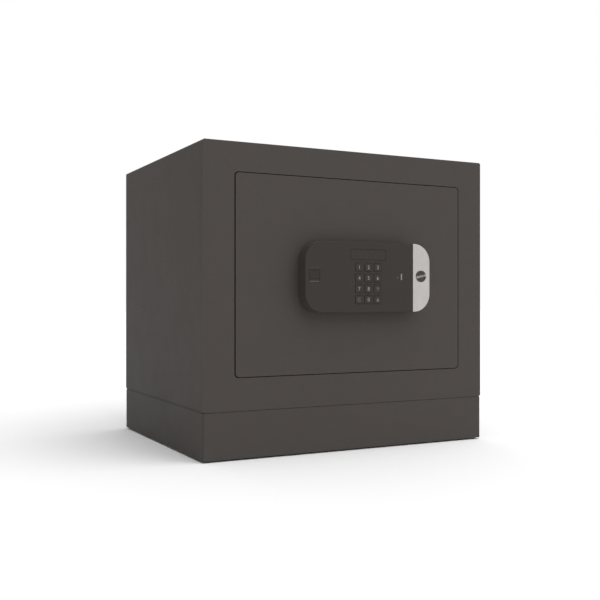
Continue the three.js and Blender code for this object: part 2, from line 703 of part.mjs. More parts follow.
function drivePinion() {
  const base = PITCH_RADIUS * Math.cos(PRESSURE_ANGLE);
  const involute = (a) => Math.tan(a) - a;
  const halfAngle = (r) =>
    Math.PI / (2 * PINION_TEETH) -
    BACKLASH / PITCH_RADIUS +
    involute(PRESSURE_ANGLE) -
    involute(Math.acos(Math.min(1, base / r)));
  const outer = PITCH_RADIUS + GEAR_MODULE;
  const flank = [PITCH_RADIUS - GEAR_MODULE, base, PITCH_RADIUS, (PITCH_RADIUS + outer) / 2, outer];
  const points = [];
  for (let tooth = 0; tooth < PINION_TEETH; tooth++) {
    const centre = Math.PI / 2 + (tooth * 2 * Math.PI) / PINION_TEETH;
    const at = (r, side) => {
      const angle = centre + side * halfAngle(Math.max(r, base));
      return new THREE.Vector2(r * Math.cos(angle), r * Math.sin(angle));
    };
    points.push(...flank.map((r) => at(r, -1)), ...flank.toReversed().map((r) => at(r, 1)));
  }
  const bore = rod("y", SHAFT_RADIUS + CLEAR, -4, 4, 0, 0, 16);
  return cut(plate(new THREE.Shape(points), -PINION_HALF, PINION_HALF), bore);
}

// ---- Emergency key lock: y is measured from the door's front face ----
const HEAD = { radius: 7, front: -PROUD, thick: 0.7 };
const BARREL_BACK = 16;
const BARREL_RADIUS = 6;
const BARREL_HOLE = BARREL_RADIUS + CLEAR;
const PLUG_RADIUS = 4.6;
const NECK = { radius: 3.4, back: 25.4 };
const KEYWAY = { half: 3.7, wide: 1.4, deep: 14, tilt: (12 * Math.PI) / 180 };

function lockBarrel() {
  const { radius, front, thick } = HEAD;
  return cut(
    join(
      rod("y", radius, front, front + thick, 0, 0, 32),
      rod("y", BARREL_RADIUS, front + thick - 0.2, BARREL_BACK, 0, 0, 32),
    ),
    rod("y", PLUG_RADIUS + CLEAR, front - 1, BARREL_BACK + 1, 0, 0),
  );
}

// The keyway lies almost level and rises a little to the right.
function lockPlug() {
  const front = HEAD.front + 0.1;
  const [cos, sin] = [Math.cos(KEYWAY.tilt), Math.sin(KEYWAY.tilt)];
  const corners = [
    [-KEYWAY.half, -KEYWAY.wide],
    [KEYWAY.half, -KEYWAY.wide],
    [KEYWAY.half, KEYWAY.wide],
    [-KEYWAY.half, KEYWAY.wide],
  ];
  const keyway = new THREE.Shape(
    corners.map(([u, v]) => new THREE.Vector2(u * cos - v * sin, u * sin + v * cos)),
  );
  return cut(
    join(
      rod("y", PLUG_RADIUS, front, BARREL_BACK, 0, 0),
      rod("y", NECK.radius, BARREL_BACK - 1, NECK.back, 0, 0, 16),
    ),
    plate(keyway, front - 1, front + KEYWAY.deep),
  );
}

const NUT = { radius: 9.8, thick: 3.5 };

function lockNut() {
  return cut(
    rod("y", NUT.radius, 0, NUT.thick, 0, 0, 6),
    rod("y", BARREL_HOLE, -1, NUT.thick + 1, 0, 0),
  );
}

// A lever that points straight up while the key is out.
function overrideCam() {
  const [half, hub] = [4, 6.8];
  const { front, back } = CARRIAGE;
  const lever = new THREE.Shape();
  lever.absarc(0, CAM_REACH - half, half, 0, Math.PI);
  lever.lineTo(-half, 0).lineTo(half, 0).closePath();
  return cut(
    join(plate(lever, front, back), rod("y", hub, front, back, 0, 0)),
    rod("y", NECK.radius + CLEAR, front - 1, back + 1, 0, 0, 16),
  );
}

// ---- Keypad panel ----
const FACE = -PANEL_DEEP; // the panel's front face
const UNDER_FACE = FACE + PANEL_WALL;
const DISPLAY = { x0: -13, x1: 35, z0: 226, z1: 238 };
const INDICATOR = { x: 57.4, z: 206.4, wide: 2, high: 7.6 };
const SERVICE = { x0: -67.8, x1: -54.2, z0: 203, z1: 213 };
const STATUS = { x0: -67, x1: -55, z0: 199.2, z1: 200.8 };
const KEY = { wide: 10.2, high: 9.6, radius: 1.5, flange: 0.7, stem: 2 };
const KEY_COLUMNS = [-1, 0, 1].map((n) => KEYPAD_X + n * KEY_PITCH);
const KEY_ROWS = [1.5, 0.5, -0.5, -1.5].map((n) => KEYPAD_Z + n * KEY_PITCH);
const BOARD_FRONT = -7; // the keypad board, behind the keys
const BOARD_BACK = -5.4;
const KEYPAD_BOARD = { x0: -40, x1: 46, z0: 170, z1: 241, moduleFront: -13.5, socketFront: -11 };

// The panel's outline between x0 and x1, with round corners at one end.
function panelOutline(x0, x1, roundLeft, inset = 0) {
  const [z0, z1] = [PANEL_LOW + inset, PANEL_HIGH - inset];
  const [a, b] = [x0 + inset, x1 - inset];
  const r = PANEL_RADIUS - inset;
  const right = Math.PI / 2;
  const shape = new THREE.Shape();
  if (roundLeft) {
    shape.moveTo(b, z0).lineTo(b, z1);
    shape.absarc(a + r, z1 - r, r, right, 2 * right);
    shape.absarc(a + r, z0 + r, r, 2 * right, 3 * right);
  } else {
    shape.absarc(b - r, z0 + r, r, -right, 0);
    shape.absarc(b - r, z1 - r, r, 0, right);
    shape.lineTo(a, z1).lineTo(a, z0);
  }
  return shape.closePath();
}

function windowCut({ x0, x1, z0, z1 }) {
  return block(x0 - CLEAR, x1 + CLEAR, FACE - 1, UNDER_FACE + 1, z0 - CLEAR, z1 + CLEAR);
}

const indicatorBox = {
  x0: INDICATOR.x - INDICATOR.wide / 2,
  x1: INDICATOR.x + INDICATOR.wide / 2,
  z0: INDICATOR.z - INDICATOR.high / 2,
  z1: INDICATOR.z + INDICATOR.high / 2,
};

const BOSS = { x: [-60, 62], in: 12, radius: 3.5 };

function panelShell() {
  const [w, h] = [KEY.wide / 2 + CLEAR, KEY.high / 2 + CLEAR];
  const keyHoles = KEY_ROWS.flatMap((z) =>
    KEY_COLUMNS.map((x) => {
      const hole = rectangle(x - w, x + w, z - h, z + h, KEY.radius);
      return plate(hole, FACE - 1, UNDER_FACE + 1, 3);
    }),
  );
  const bosses = BOSS.x.flatMap((x) =>
    [PANEL_LOW + BOSS.in, PANEL_HIGH - BOSS.in].map((z) =>
      rod("y", BOSS.radius, UNDER_FACE - RAISE, -CLEAR, x, z, 16),
    ),
  );
  return cut(
    join(
      cut(
        plate(panelOutline(PANEL_LEFT, PANEL_SPLIT, true), FACE, -CLEAR, 8),
        plate(panelOutline(PANEL_LEFT, PANEL_SPLIT, true, PANEL_WALL), UNDER_FACE, 1, 8),
      ),
      ...bosses,
    ),
    ...keyHoles,
    windowCut(DISPLAY),
    windowCut(SERVICE),
    windowCut(STATUS),
    windowCut(indicatorBox),
  );
}

function endCap() {
  const x0 = PANEL_SPLIT + CLEAR;
  const front = FACE - CAP_PROUD;
  return cut(
    plate(panelOutline(x0, PANEL_RIGHT, false), front, -CLEAR, 8),
    plate(panelOutline(x0, PANEL_RIGHT, false, 2), front + 2, 1, 8),
    rod("y", BARREL_HOLE, front - 1, front + 3, LOCK_X, LOCK_Z, 32),
  );
}

function lens({ x0, x1, z0, z1 }, front, back) {
  return block(x0, x1, front, back, z0, z1);
}

// The keypad board carries the display module and the socket of the ribbon cable.
function keypadBoard() {
  const { x0: bx0, x1: bx1, z0: bz0, z1: bz1, moduleFront, socketFront } = KEYPAD_BOARD;
  const { x0, x1, z0, z1 } = DISPLAY;
  const seat = BOARD_FRONT + SINK;
  const { x0: rx0, x1: rx1, z: rz } = RIBBON;
  return join(
    block(bx0, bx1, BOARD_FRONT, BOARD_BACK, bz0, bz1),
    block(x0 - 1, x1 + 1, moduleFront, seat, z0 - 1, z1 + 1),
    block(rx0 - 1, rx1 + 1, socketFront, seat, rz - 3, rz + 3),
  );
}

const KEY_END = -12.6; // the back of a key's stem while it is up
const KEY_MAT = { sheet: 2, sideways: 9.7, upDown: 7.1, domeFront: 2.6, domeBack: 4 };

function keyMat() {
  const { sheet, sideways, upDown, domeFront, domeBack } = KEY_MAT;
  const [left, right] = [KEY_COLUMNS[0] - sideways, KEY_COLUMNS[2] + sideways];
  const [low, high] = [KEY_ROWS[3] - upDown, KEY_ROWS[0] + upDown];
  const back = BOARD_FRONT - CLEAR;
  const top = KEY_END + KEY_TRAVEL + CLEAR;
  const domes = KEY_ROWS.flatMap((z) =>
    KEY_COLUMNS.map((x) => rod("y", domeFront, top, back - sheet + SINK, x, z, 12, domeBack)),
  );
  return join(block(left, right, back - sheet, back, low, high), ...domes);
}

function keyCap() {
  const [w, h] = [KEY.wide / 2, KEY.high / 2];
  const flange = UNDER_FACE + CLEAR;
  return join(
    plate(rectangle(-w, w, -h, h, KEY.radius), FACE - KEY_PROUD, flange + RAISE, 3),
    block(-w - KEY.flange, w + KEY.flange, flange, flange + 1, -h - KEY.flange, h + KEY.flange),
    rod("y", KEY.stem, flange + RAISE, KEY_END, 0, 0, 12),
  );
}

// ---- Assembly ----
function panelPieces() {
  const pieces = [
    piece("panel_shell", "panel", panelShell()),
    piece("end_cap", "cap", endCap()),
    piece("display_window", "lens", lens(DISPLAY, FACE + 0.1, FACE + 1.8)),
    piece("lock_indicator", "light", lens(indicatorBox, FACE - 0.1, FACE + 5)),
    piece("service_window", "lens", lens(SERVICE, FACE + 0.2, FACE + 1.8)),
    piece("status_bar", "light", lens(STATUS, FACE - 0.05, FACE + 4)),
    piece("keypad_board", "board", keypadBoard()),
    piece("key_mat", "rubber", keyMat()),
    piece("lock_barrel", "darkMetal", lockBarrel(), LOCK_X, 0, LOCK_Z),
    piece("lock_nut", "zinc", lockNut(), LOCK_X, DOOR_THICK + CLEAR, LOCK_Z),
    piece("lock_plug", "darkMetal", lockPlug(), LOCK_X, 0, LOCK_Z),
    piece("override_cam", "zinc", overrideCam(), LOCK_X, 0, LOCK_Z),
  ];
  const names = ["1", "2", "3", "4", "5", "6", "7", "8", "9", "clear", "0", "lock"];
  names.forEach((name, i) => {
    const [x, z] = [KEY_COLUMNS[i % 3], KEY_ROWS[Math.floor(i / 3)]];
    pieces.push(piece(`key_${name}`, "key", keyCap(), x, 0, z));
  });
  return pieces;
}

function doorGroup() {
  const group = new THREE.Group();
  group.position.y = FRONT;
  group.add(
    piece("door_plate", "powder", doorPlate()),
    piece("hinge_pin_top", "steel", hingePin(DOOR.z1 - PIN_DEPTH, OPENING.z1 + PIN_OUT)),
    piece("hinge_pin_bottom", "steel", hingePin(OPENING.z0 - PIN_OUT, DOOR.z0 + PIN_DEPTH)),
    piece("lock_chassis", "zinc", lockChassis()),
    piece("gearmotor", "steel", gearmotor()),
    piece("control_board", "board", controlBoard()),
    piece("battery_tray", "plastic", batteryTray()),
    piece("inner_cover", "powder", innerCover()),
    piece("battery_hatch", "plastic", batteryHatch()),
    piece("ribbon_cable", "cable", ribbonCable()),
    piece("bolt_carriage", "zinc", boltCarriage()),
    piece("bolt_lower", "steel", bolt(), 0, BOLT_BACK, BOLT_Z[0]),
    piece("bolt_upper", "steel", bolt(), 0, BOLT_BACK, BOLT_Z[1]),
    piece("drive_pinion", "brass", drivePinion(), PINION_X, BOLT_BACK, PINION_Z),
    ...panelPieces(),
  );
  CELL_X.forEach((x, i) => {
    group.add(piece(`battery_${i + 1}`, "cell", batteryCell(), x, CELL.back, CELL.z));
  });
  COVER_POSTS.forEach(([x, z], i) => {
    group.add(piece(`cover_screw_${i + 1}`, "zinc", coverScrew(), x, COVER.back, z));
  });
  return group;
}

const safe = new THREE.Group();
safe.add(cabinetGroup(), doorGroup());

export default safe;
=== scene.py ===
import json
import math

import bmesh
import bpy
from mathutils import Matrix, Vector


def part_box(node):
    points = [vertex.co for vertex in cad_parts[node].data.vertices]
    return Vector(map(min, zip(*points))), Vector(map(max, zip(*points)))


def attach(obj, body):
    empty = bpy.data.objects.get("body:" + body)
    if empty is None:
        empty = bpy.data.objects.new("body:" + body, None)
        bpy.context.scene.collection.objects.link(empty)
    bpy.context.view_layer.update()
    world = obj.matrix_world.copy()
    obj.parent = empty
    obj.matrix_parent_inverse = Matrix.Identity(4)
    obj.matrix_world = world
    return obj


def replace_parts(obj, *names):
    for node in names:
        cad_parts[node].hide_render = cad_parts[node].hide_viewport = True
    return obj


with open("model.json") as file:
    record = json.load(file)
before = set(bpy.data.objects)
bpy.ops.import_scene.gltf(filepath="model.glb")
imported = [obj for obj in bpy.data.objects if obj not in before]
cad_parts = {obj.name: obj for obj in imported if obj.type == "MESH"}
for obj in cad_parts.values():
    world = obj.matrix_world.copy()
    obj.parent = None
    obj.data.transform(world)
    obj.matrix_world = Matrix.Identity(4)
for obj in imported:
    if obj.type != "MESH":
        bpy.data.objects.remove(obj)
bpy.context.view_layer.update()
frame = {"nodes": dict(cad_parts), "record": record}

MM = 0.001
nodes = frame["nodes"]
scene = bpy.context.scene
SLOT_OF = {row["node"]: row["material_slot"] for row in frame["record"]["subparts"]}
BODY_OF = {
    node: body
    for body, names in frame["record"]["behaviour"]["bodies"].items()
    for node in names
}


def extent(node):
    """A node's lowest and highest corners in millimetres."""
    low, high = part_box(node)
    return low / MM, high / MM


def centre(node):
    low, high = extent(node)
    return (low + high) / 2


FRONT = extent("body_shell")[0].y  # the safe's front face
FACE = extent("panel_shell")[0].y  # the lock panel's front face
LOCK = centre("lock_barrel")
KEYWAY_TILT = math.radians(12)
KEYWAY = (3.7, 1.4)  # half its length and half its width


# ---- Materials ----
class Finish:
    """A procedural material: a Principled shader and short calls that add the nodes before it."""

    def __init__(self, name, color, roughness, metallic=0.0, **sockets):
        self.material = bpy.data.materials.new(name)
        self.material.use_nodes = True
        self.tree = self.material.node_tree
        self.bsdf = self.tree.nodes["Principled BSDF"]
        self.set(self.bsdf, "Base Color", (*color, 1))
        self.set(self.bsdf, "Roughness", roughness)
        self.set(self.bsdf, "Metallic", metallic)
        for socket, value in sockets.items():
            self.set(self.bsdf, socket.replace("_", " "), value)
        self.place = self.add("ShaderNodeTexCoord").outputs["Object"]
        self.normal = None

    def add(self, kind, **inputs):
        made = self.tree.nodes.new(kind)
        for name, value in inputs.items():
            self.set(made, name.replace("_", " "), value)
        return made

    def set(self, node, name, value):
        """Links or sets an input, which is given by its name or its number."""
        if isinstance(value, bpy.types.NodeSocket):
            self.tree.links.new(value, node.inputs[name])
        else:
            node.inputs[name].default_value = value

    def stretched(self, x, y, z):
        return self.add("ShaderNodeMapping", Vector=self.place, Scale=(x, y, z)).outputs[0]

    def noise(self, scale, detail=2.0, roughness=0.5, vector=None, distortion=0.0):
        made = self.add(
            "ShaderNodeTexNoise",
            Vector=vector or self.place,
            Scale=scale,
            Detail=detail,
            Roughness=roughness,
            Distortion=distortion,
        )
        return made.outputs["Fac"]

    def cells(self, scale):
        made = self.add("ShaderNodeTexVoronoi", Vector=self.place, Scale=scale)
        return made.outputs["Distance"]

    def spread(self, factor, low, high, start=0.3, end=0.7):
        made = self.add("ShaderNodeMapRange", Value=factor)
        values = {"From Min": start, "From Max": end, "To Min": low, "To Max": high}
        for name, value in values.items():
            made.inputs[name].default_value = value
        return made.outputs["Result"]

    def math(self, operation, a, b=0.0):
        made = self.add("ShaderNodeMath")
        made.operation = operation
        self.set(made, 0, a)
        self.set(made, 1, b)
        return made.outputs[0]

    def axis(self, name):
        """The position along x, y or z, in metres."""
        made = self.add("ShaderNodeSeparateXYZ", Vector=self.place)
        return made.outputs[name.upper()]

    def edge(self):
        """The rounded edges: 1 along the middle of each, and 0 on the flats."""
        made = self.add("ShaderNodeAttribute")
        made.attribute_name = "edge"
        return made.outputs["Fac"]

    def tint(self, factor, color, blend="MIX"):
        """Lays color over what the base colour already is, by factor."""
        made = self.tree.nodes.new("ShaderNodeMix")
        made.data_type, made.blend_type = "RGBA", blend
        self.set(made, 0, factor)
        base = self.bsdf.inputs["Base Color"]
        if base.links:
            self.tree.links.new(base.links[0].from_socket, made.inputs[6])
        else:
            made.inputs[6].default_value = base.default_value
        self.set(made, 7, color if isinstance(color, bpy.types.NodeSocket) else (*color, 1))
        self.tree.links.new(made.outputs[2], base)
        return self

    def shade(self, factor, low=0.9, high=1.1):
        """Makes the base colour lighter and darker by factor."""
        grey = self.add("ShaderNodeCombineColor")
        level = self.spread(factor, low, high)
        for channel in range(3):
            self.tree.links.new(level, grey.inputs[channel])
        return self.tint(1.0, grey.outputs[0], "MULTIPLY")

    def rough(self, factor, low, high, start=0.3, end=0.7):
        self.set(self.bsdf, "Roughness", self.spread(factor, low, high, start, end))
        return self

    def bump(self, height, distance, strength=1.0):
        made = self.add("ShaderNodeBump", Height=height, Distance=distance, Strength=strength)
        if self.normal:
            self.tree.links.new(self.normal, made.inputs["Normal"])
        self.normal = made.outputs[0]
        self.tree.links.new(self.normal, self.bsdf.inputs["Normal"])
        return self

    def worn(self, color, amount=0.5, scale=180):
        """Rubs the edges through to color, in patches."""
        patches = self.spread(self.noise(scale, 4, 0.7), 0, amount, 0.42, 0.62)
        return self.tint(self.math("MULTIPLY", self.edge(), patches), color)


def powder_coat(name, color, roughness=0.62):
    """Fine-textured powder paint: orange peel under a close grain, with a few paler specks."""
    made = Finish(name, color, roughness, Specular_IOR_Level=0.16)
    peel = made.noise(320, 2, 0.5)
    grain = made.noise(1250, 3, 0.7)
    specks = made.spread(made.cells(900), 0.35, 0, 0.1, 0.2)
    made.shade(made.noise(5, 2, 0.5), 0.985, 1.015)
    made.shade(made.noise(70, 4, 0.6), 0.985, 1.015)
    made.shade(grain, 0.8, 1.2)
    made.tint(specks, tuple(c * 1.4 for c in color))
    made.worn(tuple(c * 2.2 for c in color), 0.6)
    made.rough(made.noise(28, 4, 0.65, distortion=0.3), roughness - 0.02, roughness + 0.03)
    return made.bump(peel, 0.0004, 0.35).bump(grain, 0.0002, 0.6)


def moulded(name, color, roughness=0.4, grain=1800, depth=0.00003, level=0.5):
    made = Finish(name, color, roughness, Specular_IOR_Level=level)
    texture = made.noise(grain, 2, 0.6)
    made.shade(made.noise(40, 3, 0.6), 0.975, 1.025)
    made.shade(texture, 0.93, 1.07)
    made.worn(tuple(c * 1.5 for c in color), 0.5, 260)
    made.rough(made.noise(70, 4, 0.65, distortion=0.4), roughness - 0.05, roughness + 0.07)
    return made.bump(texture, depth, 0.6)


def brushed(name, color, roughness=0.3, along="x", grain=2200):
    made = Finish(name, color, roughness, 1.0)
    scales = {"x": (0.02, 1, 1), "y": (1, 0.02, 1), "z": (1, 1, 0.02)}[along]
    lines = made.noise(grain, 2, 0.6, made.stretched(*scales))
    made.shade(lines, 0.92, 1.07)
    made.shade(made.noise(60, 3, 0.6), 0.97, 1.03)
    made.rough(lines, roughness - 0.06, roughness + 0.08)
    return made.bump(lines, 0.00002, 0.4)


def turned(name, color, roughness, axis):
    """Metal turned on a lathe, with fine rings across its axis."""
    made = Finish(name, color, roughness, 1.0)
    rings = made.add("ShaderNodeTexWave", Vector=made.place, Scale=900.0, Distortion=1.5)
    rings.bands_direction = axis.upper()
    made.shade(rings.outputs["Fac"], 0.94, 1.05)
    made.shade(made.noise(240, 3, 0.6), 0.93, 1.05)
    made.rough(made.noise(500, 3, 0.6), roughness - 0.05, roughness + 0.1)
    return made.bump(rings.outputs["Fac"], 0.00001, 0.5)


def zinc(name, color=(0.5, 0.51, 0.53)):
    made = Finish(name, color, 0.35, 1.0)
    made.shade(made.cells(150), 0.84, 1.08)
    made.shade(made.noise(900, 2, 0.6), 0.93, 1.05)
    made.rough(made.noise(220, 3, 0.6), 0.28, 0.46)
    return made.bump(made.noise(1500, 2, 0.6), 0.00002, 0.4)


def felt(name, color):
    made = Finish(name, color, 0.95, Sheen_Weight=0.25, Sheen_Roughness=0.6)
    fibres = made.noise(1400, 4, 0.75, distortion=1.5)
    tufts = made.noise(260, 3, 0.6)
    made.shade(fibres, 0.7, 1.35)
    made.shade(tufts, 0.88, 1.12)
    return made.bump(fibres, 0.0004, 0.6).bump(tufts, 0.0005, 0.4)


def circuit_board(name):
    made = Finish(name, (0.012, 0.07, 0.03), 0.35)
    tracks = made.add("ShaderNodeTexBrick", Vector=made.place, Scale=260.0)
    made.tint(made.spread(tracks.outputs["Fac"], 0, 0.5, 0, 1), (0.03, 0.14, 0.06))
    made.shade(made.noise(400, 2, 0.5), 0.9, 1.1)
    return made.rough(made.noise(150, 2), 0.3, 0.45)


def housing(name, face, side):
    """The lock panel: dark on its front, with its sides painted lighter, which is painted light
    against the shade that falls on them.
    """
    made = moulded(name, face, 0.46, level=0.25)
    painted_light_from, plastic = (FACE + 0.45) * MM, (FACE + 0.6) * MM
    # Behind the front face the colour turns to side: painted light on the panel's shaded sides.
    return made.tint(made.spread(made.axis("y"), 0, 1, painted_light_from, plastic), side)


def metal_with_painted_streak(name, color, painted_streak_color=(0.3, 0.293, 0.285)):
    """Dark plated metal with a painted highlight: a light line across its front face, in line
    with the keyway, in place of a reflection.
    """
    made = brushed(name, color, 0.3, "z", 2600)
    across = made.math("MULTIPLY", made.axis("x"), -math.sin(KEYWAY_TILT))
    upward = made.math("MULTIPLY", made.axis("z"), math.cos(KEYWAY_TILT))
    middle = LOCK.z * math.cos(KEYWAY_TILT) - LOCK.x * math.sin(KEYWAY_TILT)
    height = made.math("SUBTRACT", made.math("ADD", across, upward), middle * MM)
    half, faded = 1.2 * MM, 1.35 * MM  # half the painted highlight's width, without and with its soft edge
    streak_front, bare = (FACE + 0.2) * MM, (FACE + 0.3) * MM  # only the front face has the painted highlight
    line = made.spread(made.math("ABSOLUTE", height), 1, 0, half, faded)
    front = made.spread(made.axis("y"), 1, 0, streak_front, bare)
    painted_streak_mask = made.math("MULTIPLY", line, front)
    # Painted highlight: the line is lighter and not metal, where a reflection would show.
    made.tint(painted_streak_mask, painted_streak_color)
    made.set(made.bsdf, "Metallic", made.math("SUBTRACT", 1.0, painted_streak_mask))
    return made


def banded_cell(name):
    """A cell's jacket: dark below an orange stripe, silver above it, bare metal at both ends."""
    made = moulded(name, (0.05, 0.07, 0.11), 0.28, 1200, 0.00001)
    low, high = extent("battery_1")
    base_end, cap_start = low.z + 1.2, high.z - 2.4
    stripe_start, stripe_end = low.z + 32, low.z + 33
    height = made.axis("z")

    def between(z0, z1):
        above = made.math("GREATER_THAN", height, z0 * MM)
        return made.math("MULTIPLY", above, made.math("LESS_THAN", height, z1 * MM))

    made.tint(between(stripe_end, cap_start), (0.5, 0.5, 0.52))
    made.tint(between(stripe_start, stripe_end), (0.55, 0.12, 0.02))
    for z0, z1 in ((low.z - 1, base_end), (cap_start, high.z + 1)):
        made.tint(between(z0, z1), (0.6, 0.6, 0.6))
    return made


COAT = (0.0585, 0.051, 0.0465)
finishes = {
    "powder_coat": powder_coat("powder_coat", COAT),
    "zinc_plate": zinc("zinc_plate"),
    "bright_steel": turned("bright_steel", (0.56, 0.56, 0.57), 0.24, "x"),
    "oiled_steel": turned("oiled_steel", (0.11, 0.105, 0.1), 0.35, "z"),
    # panel_plastic's lighter side colour is painted light on the shaded sides.
    "panel_plastic": housing("panel_plastic", (0.0265, 0.0218, 0.0185), (0.06, 0.052, 0.0455)),
    # Lighter than the panel face: a painted highlight on the service ridge.
    "ridge_painted_highlight": moulded("ridge_painted_highlight", (0.042, 0.037, 0.033), 0.46, level=0.25),
    "satin_cap": brushed("satin_cap", (0.485, 0.467, 0.455), 0.36, "z", 3000),
    "key_plastic": moulded("key_plastic", (0.0262, 0.022, 0.019), 0.5, 2600, 0.00004, 0.25),
    "smoked_lens": moulded("smoked_lens", (0.0265, 0.0225, 0.02), 0.2, 700, 0.000004, 0.25),
    "service_lens": moulded("service_lens", (0.018, 0.0155, 0.014), 0.25, 700, 0.000004, 0.3),
    "light_pipe": moulded("light_pipe", (0.185, 0.182, 0.172), 0.3, 900, 0.00001),
    "status_light": moulded("status_light", (0.058, 0.054, 0.05), 0.35, 900, 0.00001),
    # dark_metal carries a painted highlight streak across the lock's face.
    "dark_metal": metal_with_painted_streak("dark_metal", (0.075, 0.072, 0.07)),
    "shutter_steel": brushed("shutter_steel", (0.27, 0.265, 0.26), 0.4, "x", 2600),
    "pinion_brass": brushed("pinion_brass", (0.6, 0.42, 0.16), 0.28, "y"),
    "circuit_board": circuit_board("circuit_board"),
    "inner_plastic": moulded("inner_plastic", (0.02, 0.02, 0.021), 0.5, level=0.4),
    "cell_jacket": banded_cell("cell_jacket"),
    "rubber": moulded("rubber", (0.014, 0.014, 0.014), 0.8, 900, 0.00008),
    "felt": felt("felt", (0.03, 0.031, 0.035)),
    "cable_jacket": moulded("cable_jacket", (0.3, 0.31, 0.33), 0.55, 1200, 0.00002),
    "legend": moulded("legend", (0.25, 0.242, 0.233), 0.6, 2400, 0.00001),
    "legend_dim": moulded("legend_dim", (0.12, 0.115, 0.11), 0.6, 2400, 0.00001),
    "ghost_segment": moulded("ghost_segment", (0.031, 0.027, 0.0245), 0.25, 2400, 0.000004, 0.25),
}


# ---- Mesh helpers ----
SMOOTH_UP_TO = math.radians(32)  # facets that meet at more than this stay sharp
FLAT_UP_TO = math.radians(0.6)  # facets that meet at less than this are joined
SAME_POINT = 1e-6  # metres
WINDOW_MARGIN = 1  # how far round a window the edges are rounded less
WIDE_ROUNDING = 0.4  # a rounding wider than this takes one more segment
CUT_PAST = 1  # how far a cutter reaches past what it cuts


def put(name, mesh, body, finish):
    """Shows a mesh as a piece that rides on a body."""
    made = bpy.data.objects.new(name, mesh)
    scene.collection.objects.link(made)
    mesh.materials.clear()
    mesh.materials.append(finishes[finish].material)
    mesh.polygons.foreach_set("use_smooth", [True] * len(mesh.polygons))
    mesh.set_sharp_from_angle(angle=SMOOTH_UP_TO)
    flatten = made.modifiers.new("flat_faces", "WEIGHTED_NORMAL")
    flatten.keep_sharp = True
    flatten.weight = 100
    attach(made, body)
    return made


def round_edges(work, width, segments, keep=None):
    """Rounds the sharp edges that keep(edge) picks, and returns the faces this makes."""
    edges = [
        edge
        for edge in work.edges
        if len(edge.link_faces) == 2
        and edge.calc_face_angle(0) > SMOOTH_UP_TO
        and (keep is None or keep(edge))
    ]
    made = bmesh.ops.bevel(
        work,
        geom=edges,
        offset=width,
        segments=segments,
        profile=0.5,
        affect="EDGES",
        clamp_overlap=False,
    )
    return made["faces"]


def mark_edges(layer, rounded):
    """Writes what Finish.edge reads: 1 on the points with rounded faces all around."""
    rounded = {face for face in rounded if face.is_valid}
    for vert in {vert for face in rounded for vert in face.verts}:
        if all(face in rounded for face in vert.link_faces):
            vert[layer] = 1


def softened(source, width, windows=(), fine=0.12):
    """A copy of a mesh with its flat facets joined and its edges rounded, less so at windows."""
    work = bmesh.new()
    work.from_mesh(source)
    layer = work.verts.layers.float.new("edge")
    bmesh.ops.remove_doubles(work, verts=work.verts, dist=SAME_POINT)
    bmesh.ops.dissolve_limit(work, angle_limit=FLAT_UP_TO, verts=work.verts, edges=work.edges)

    def near_window(edge):
        middle = (edge.verts[0].co + edge.verts[1].co) / (2 * MM)
        return any(
            low.x - WINDOW_MARGIN < middle.x < high.x + WINDOW_MARGIN
            and low.z - WINDOW_MARGIN < middle.z < high.z + WINDOW_MARGIN
            for low, high in windows
        )

    rounded = []
    if windows:
        rounded += round_edges(work, fine * MM, 2, near_window)
    if width:
        segments = 3 if width > WIDE_ROUNDING else 2
        rounded += round_edges(work, width * MM, segments, lambda edge: not near_window(edge))
    mark_edges(layer, rounded)
    mesh = bpy.data.meshes.new(source.name + "_soft")
    work.to_mesh(mesh)
    work.free()
    return mesh


class Shape:
    """A solid put together in bmesh from prisms and turned profiles, in millimetres."""

    def __init__(self):
        self.work = bmesh.new()
        self.layer = self.work.verts.layers.float.new("edge")

    def point(self, axis, u, v, along):
        place = {"x": (along, u, v), "y": (u, along, v), "z": (u, v, along)}[axis]
        return self.work.verts.new(place)

    def prism(self, outline, start, end, axis="y"):
        near, far = ([self.point(axis, u, v, at) for u, v in outline] for at in (start, end))
        self.work.faces.new(near)
        self.work.faces.new(far[::-1])
        for i in range(len(outline)):
            self.work.faces.new([near[i], near[i - 1], far[i - 1], far[i]])
        return self

    def ring(self, axis, middle, radius, along, steps):
        if not radius:
            return [self.point(axis, *middle, along)] * steps
        turns = [2 * math.pi * n / steps for n in range(steps)]
        return [
            self.point(
                axis,
                middle[0] + radius * math.cos(turn),
                middle[1] + radius * math.sin(turn),
                along,
            )
            for turn in turns
        ]

    def lathe(self, profile, middle, axis="y", steps=40):
        """Turns a profile of (radius, along), which starts and ends on the axis."""
        rings = [self.ring(axis, middle, radius, along, steps) for radius, along in profile]
        for a, b in zip(rings, rings[1:]):
            for n in range(steps):
                corners = dict.fromkeys([a[n - 1], a[n], b[n], b[n - 1]])
                self.work.faces.new(list(corners))
        return self

    def mesh(self, name, bevel=0.0):
        bmesh.ops.recalc_face_normals(self.work, faces=self.work.faces)
        bmesh.ops.scale(self.work, vec=(MM, MM, MM), verts=self.work.verts)
        rounded = round_edges(self.work, bevel * MM, 2) if bevel else []
        mark_edges(self.layer, rounded)
        mesh = bpy.data.meshes.new(name)
        self.work.to_mesh(mesh)
        self.work.free()
        return mesh

    def put(self, name, body, finish, slot, bevel=0.0):
        return put(name, self.mesh(name, bevel), body, finish)


def carved(mesh, shape):
    """The mesh with a Shape cut out of it."""
    blank = bpy.data.objects.new("blank", mesh)
    cutter = bpy.data.objects.new("cutter", shape.mesh("cutter"))
    for holder in (blank, cutter):
        scene.collection.objects.link(holder)
    modifier = blank.modifiers.new("cut", "BOOLEAN")
    modifier.operation, modifier.solver, modifier.object = "DIFFERENCE", "EXACT", cutter
    graph = bpy.context.evaluated_depsgraph_get()
    made = bpy.data.meshes.new_from_object(blank.evaluated_get(graph))
    for holder in (blank, cutter):
        bpy.data.objects.remove(holder)
    return made


